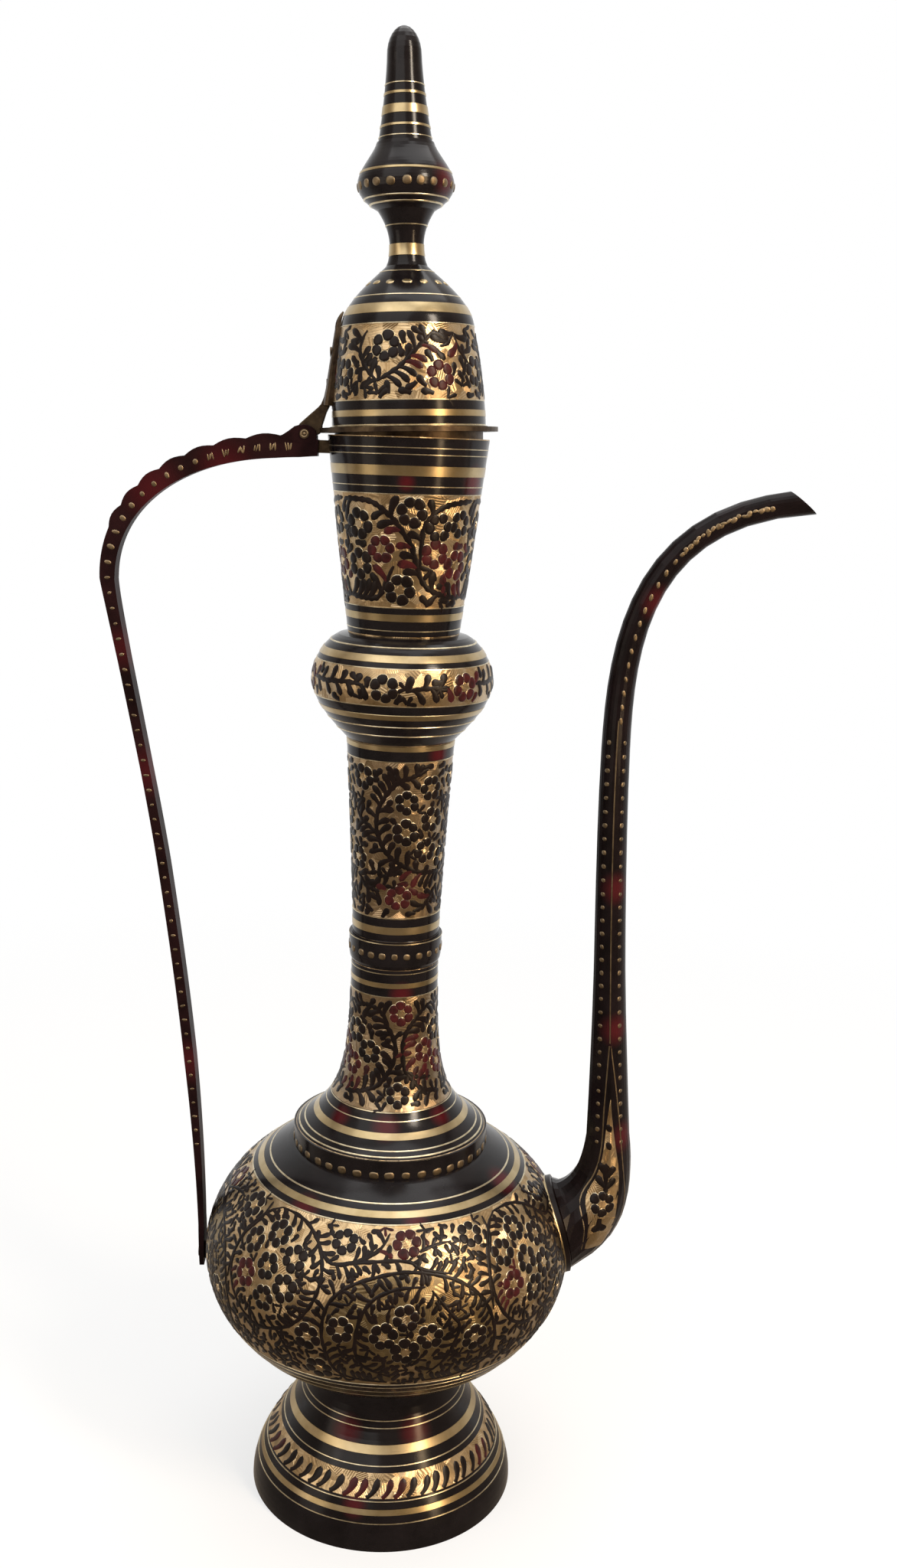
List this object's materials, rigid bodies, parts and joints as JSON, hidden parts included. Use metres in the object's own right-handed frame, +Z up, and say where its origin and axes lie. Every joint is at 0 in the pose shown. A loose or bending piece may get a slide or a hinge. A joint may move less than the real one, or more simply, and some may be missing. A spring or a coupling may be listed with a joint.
{
  "type": "lidded spouted ewer",
  "caption": "Tall lidded ewer of engraved and lacquered brass with a round bowl, flared foot, ringed neck, knop, hinged lid, strap handle and curved spout.",
  "frame": {"origin": "centre of the foot's ring at the table plane, on the axis of the bowl and neck", "axes": "+Z up along the axis of the bowl and neck, +X towards the spout, the handle and hinge towards -X"},
  "size_m": [0.2861, 0.158, 0.6091],
  "materials": {
    "brass": "chased and lightly tarnished",
    "lacquer": "gloss black lacquer over brass",
    "bronze": "dark tarnished brass",
    "maroon": "worn dark maroon lacquer over brass"
  },
  "bodies": {
    "vessel": {"foot": "lacquer", "bowl_lower": "brass", "bowl_upper": "brass", "shoulder_ring": "lacquer", "lower_neck": "brass", "neck_collar": "lacquer", "upper_neck": "brass", "knop_lower": "lacquer", "knop_upper": "lacquer", "mouth_cup": "brass", "hinge_pin": "bronze", "cup_lug": "bronze", "handle": "maroon", "handle_rivet": "bronze", "spout": "lacquer", "spout_flange": "brass"},
    "lid": {"lid_flange": "bronze", "lid_bezel": "brass", "lid_dome": "brass", "finial_stem": "lacquer", "finial_bead": "lacquer", "finial_spire": "lacquer", "finial_bolt": "brass", "finial_washer": "brass", "hinge_strap": "bronze", "strap_rivets": "bronze"}
  },
  "joints": [
    {"name": "lid_hinge", "type": "hinge", "parent": "vessel", "child": "lid", "pos_m": [-0.041, 0, 0.45845], "axis": [0, -1, 0], "range_deg": [0, 95]}
  ]
}
